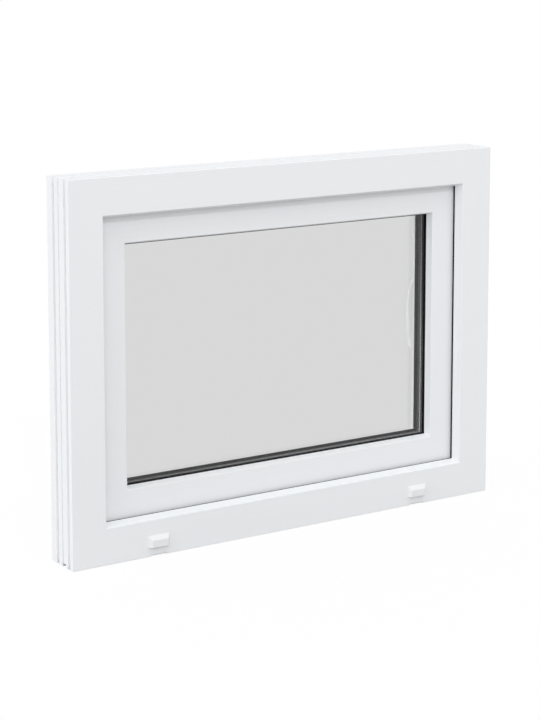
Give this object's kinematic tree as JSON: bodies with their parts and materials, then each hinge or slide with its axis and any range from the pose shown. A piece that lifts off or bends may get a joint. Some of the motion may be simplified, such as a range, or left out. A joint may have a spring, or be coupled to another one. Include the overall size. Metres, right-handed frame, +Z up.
{
  "type": "hinged uPVC window",
  "caption": "Side-hung white uPVC window with a mitred outer frame, an opening sash, double glazing and a handle.",
  "frame": {"origin": "middle of the sill's underside, halfway through the depth of the fixed frame", "axes": "+X along the sill to the handle side, +Y from outside into the room, +Z up"},
  "size_m": [0.8, 0.1373, 0.6],
  "materials": {
    "white_upvc": "smooth extruded white uPVC, satin gloss",
    "clear_glass": "clear float glass",
    "black_gasket": "black EPDM weather seal",
    "grey_spacer": "dark grey warm-edge spacer bar",
    "edge_seal": "black polysulphide edge seal",
    "white_lacquer": "white powder-coated die-cast metal",
    "white_cap": "white moulded plastic"
  },
  "bodies": {
    "root": {"frame_head": "white_upvc", "frame_sill": "white_upvc", "frame_jamb_left": "white_upvc", "frame_jamb_right": "white_upvc", "sash_top_rail": "white_upvc", "sash_bottom_rail": "white_upvc", "sash_stile_left": "white_upvc", "sash_stile_right": "white_upvc", "glazing_bead_top": "white_upvc", "glazing_bead_bottom": "white_upvc", "glazing_bead_left": "white_upvc", "glazing_bead_right": "white_upvc", "outer_pane": "clear_glass", "inner_pane": "clear_glass", "spacer_bar": "grey_spacer", "edge_sealant": "edge_seal", "outer_glazing_gasket": "black_gasket", "inner_glazing_gasket": "black_gasket", "frame_gasket": "black_gasket", "sash_gasket": "black_gasket", "drain_cap_left": "white_cap", "drain_cap_right": "white_cap", "handle_rose": "white_lacquer", "handle_lever": "white_lacquer", "lower_hinge_frame_leaf": "white_lacquer", "lower_hinge_sash_leaf": "white_lacquer", "lower_hinge_pin": "white_lacquer", "upper_hinge_frame_leaf": "white_lacquer", "upper_hinge_sash_leaf": "white_lacquer", "upper_hinge_pin": "white_lacquer"}
  },
  "joints": []
}
